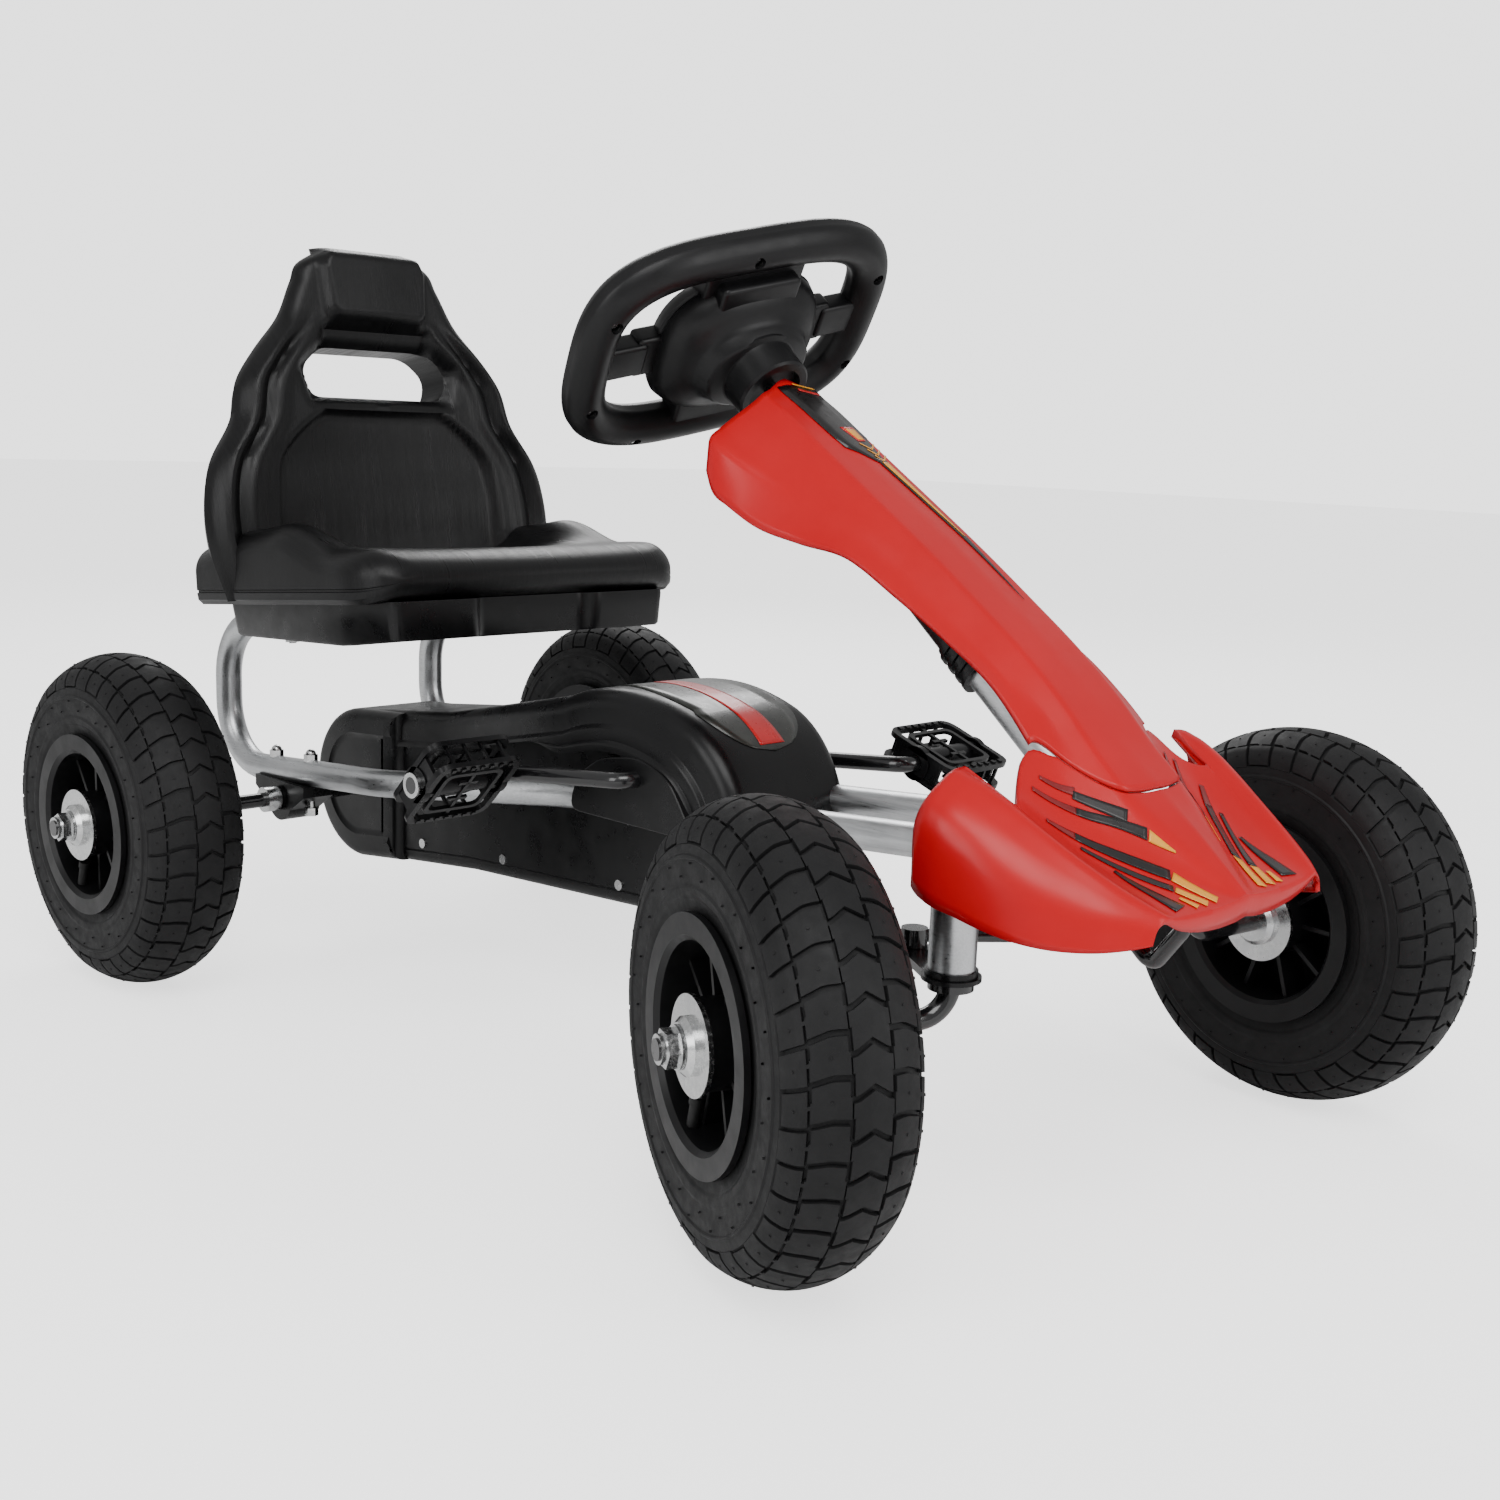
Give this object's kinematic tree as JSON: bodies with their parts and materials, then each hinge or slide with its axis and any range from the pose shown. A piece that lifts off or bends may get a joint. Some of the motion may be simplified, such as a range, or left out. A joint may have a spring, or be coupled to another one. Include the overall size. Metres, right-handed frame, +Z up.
{
  "type": "pedal go kart",
  "caption": "Child's pedal go kart with a tube frame, bucket-backed seat, angled steering column, moulded fairings, treaded wheels and an enclosed chain drive.",
  "frame": {"origin": "on the ground, in the middle of the kart's bounding box", "axes": "+X forward, +Y the driver's left, +Z up"},
  "size_m": [0.9956, 0.626, 0.5962],
  "materials": {
    "tyre_rubber": "moulded block tread, dull side walls",
    "tube_rubber": "smooth",
    "wheel_plastic": "moulded black, fine grain",
    "zinc_steel": "bright zinc",
    "valve_brass": "plain",
    "galvanised_tube": "satin galvanised",
    "black_steel": "gloss black powder coat",
    "black_plastic": "moulded black, light grain",
    "red_plastic": "gloss",
    "chain_steel": "oiled"
  },
  "bodies": {
    "frame": {"main_tube_left": "galvanised_tube", "main_tube_right": "galvanised_tube", "front_beam": "galvanised_tube", "kingpin_tubes": "galvanised_tube", "steering_bushes": "black_plastic", "column_tube": "galvanised_tube", "column_sleeve": "black_plastic", "axle_brackets": "black_plastic", "bearing_bushes": "black_plastic", "bracket_bolts": "zinc_steel", "crank_brackets": "black_plastic", "case_left": "black_plastic", "case_right": "black_plastic", "case_screws": "zinc_steel", "chain": "chain_steel", "seat_base": "black_steel", "seat": "black_plastic", "seat_bolts": "zinc_steel", "upper_fairing": "red_plastic", "nose_fairing": "red_plastic"},
    "rear_axle_set": {"rear_axle": "black_steel", "axle_collars": "zinc_steel", "rear_sprocket": "chain_steel", "tyre_rear_left": "tyre_rubber", "tyre_rear_right": "tyre_rubber", "rim_rear_left": "wheel_plastic", "rim_rear_right": "wheel_plastic", "inner_tube_rear": "tube_rubber", "hub_plates_rear": "zinc_steel", "valve_rear": "valve_brass", "axle_nut_rear": "zinc_steel"},
    "crank_set": {"crank": "black_steel", "pedal_caps": "zinc_steel", "chain_wheel": "chain_steel"},
    "right_pedal": {"pedal_right": "black_plastic"},
    "left_pedal": {"pedal_left": "black_plastic"},
    "steering": {"steering_shaft": "black_steel", "column_collar": "black_plastic", "hub_pod": "black_plastic", "steering_rim_front": "black_plastic", "steering_rim_back": "black_plastic", "steering_screws": "zinc_steel"},
    "right_stub": {"stub_axle_right": "black_steel", "kingpin_nut_right": "zinc_steel", "axle_nut_front_right": "zinc_steel"},
    "right_front_wheel": {"tyre_front_right": "tyre_rubber", "rim_front_right": "wheel_plastic", "inner_tube_front_right": "tube_rubber", "hub_plates_front_right": "zinc_steel", "valve_front_right": "valve_brass"},
    "right_tie_rod": {"tie_rod_right": "black_steel"},
    "left_stub": {"stub_axle_left": "black_steel", "kingpin_nut_left": "zinc_steel", "axle_nut_front_left": "zinc_steel"},
    "left_front_wheel": {"tyre_front_left": "tyre_rubber", "rim_front_left": "wheel_plastic", "inner_tube_front_left": "tube_rubber", "hub_plates_front_left": "zinc_steel", "valve_front_left": "valve_brass"},
    "left_tie_rod": {"tie_rod_left": "black_steel"}
  },
  "joints": [
    {"name": "rear_axle_spin", "type": "hinge", "parent": "frame", "child": "rear_axle_set", "pos_m": [-0.36782, 0, 0.13], "axis": [0, 1, 0], "continuous": true},
    {"name": "crank_spin", "type": "hinge", "parent": "frame", "child": "crank_set", "pos_m": [0.02318, 0, 0.204], "axis": [0, 1, 0], "continuous": true},
    {"name": "right_pedal_spin", "type": "hinge", "parent": "crank_set", "child": "right_pedal", "pos_m": [-0.07657, -0.15, 0.19702], "axis": [0, 1, 0], "continuous": true},
    {"name": "left_pedal_spin", "type": "hinge", "parent": "crank_set", "child": "left_pedal", "pos_m": [0.12294, 0.15, 0.21098], "axis": [0, 1, 0], "continuous": true},
    {"name": "steering_turn", "type": "hinge", "parent": "frame", "child": "steering", "pos_m": [0.03018, 0, 0.512], "axis": [0.7604, 0, -0.6494], "range_deg": [-40, 6]},
    {"name": "right_stub_turn", "type": "hinge", "parent": "frame", "child": "right_stub", "pos_m": [0.35218, -0.127, 0.18], "axis": [0, 0, -1], "range_deg": [-52, 8]},
    {"name": "right_front_wheel_spin", "type": "hinge", "parent": "right_stub", "child": "right_front_wheel", "pos_m": [0.30985, -0.23177, 0.13], "axis": [0.3746, 0.9272, 0], "continuous": true},
    {"name": "right_tie_rod_turn", "type": "hinge", "parent": "right_stub", "child": "right_tie_rod", "pos_m": [0.29706, -0.09255, 0.152], "axis": [0, 0, -1], "range_deg": [-8, 52]},
    {"name": "left_stub_turn", "type": "hinge", "parent": "frame", "child": "left_stub", "pos_m": [0.35218, 0.127, 0.18], "axis": [0, 0, -1], "range_deg": [-20, 3]},
    {"name": "left_front_wheel_spin", "type": "hinge", "parent": "left_stub", "child": "left_front_wheel", "pos_m": [0.36869, 0.23879, 0.13], "axis": [0.1461, 0.9893, 0], "continuous": true},
    {"name": "left_tie_rod_turn", "type": "hinge", "parent": "left_stub", "child": "left_tie_rod", "pos_m": [0.28721, 0.12518, 0.152], "axis": [0, 0, -1], "range_deg": [-3, 20]}
  ],
  "couplings": [
    {"joint": "crank_spin", "follows": "rear_axle_spin", "ratio": 0.83333},
    {"joint": "right_stub_turn", "follows": "steering_turn", "ratio": 1.2941},
    {"joint": "left_stub_turn", "follows": "steering_turn", "ratio": 0.49412},
    {"joint": "right_tie_rod_turn", "follows": "steering_turn", "ratio": -1.2941},
    {"joint": "left_tie_rod_turn", "follows": "steering_turn", "ratio": -0.49412}
  ]
}
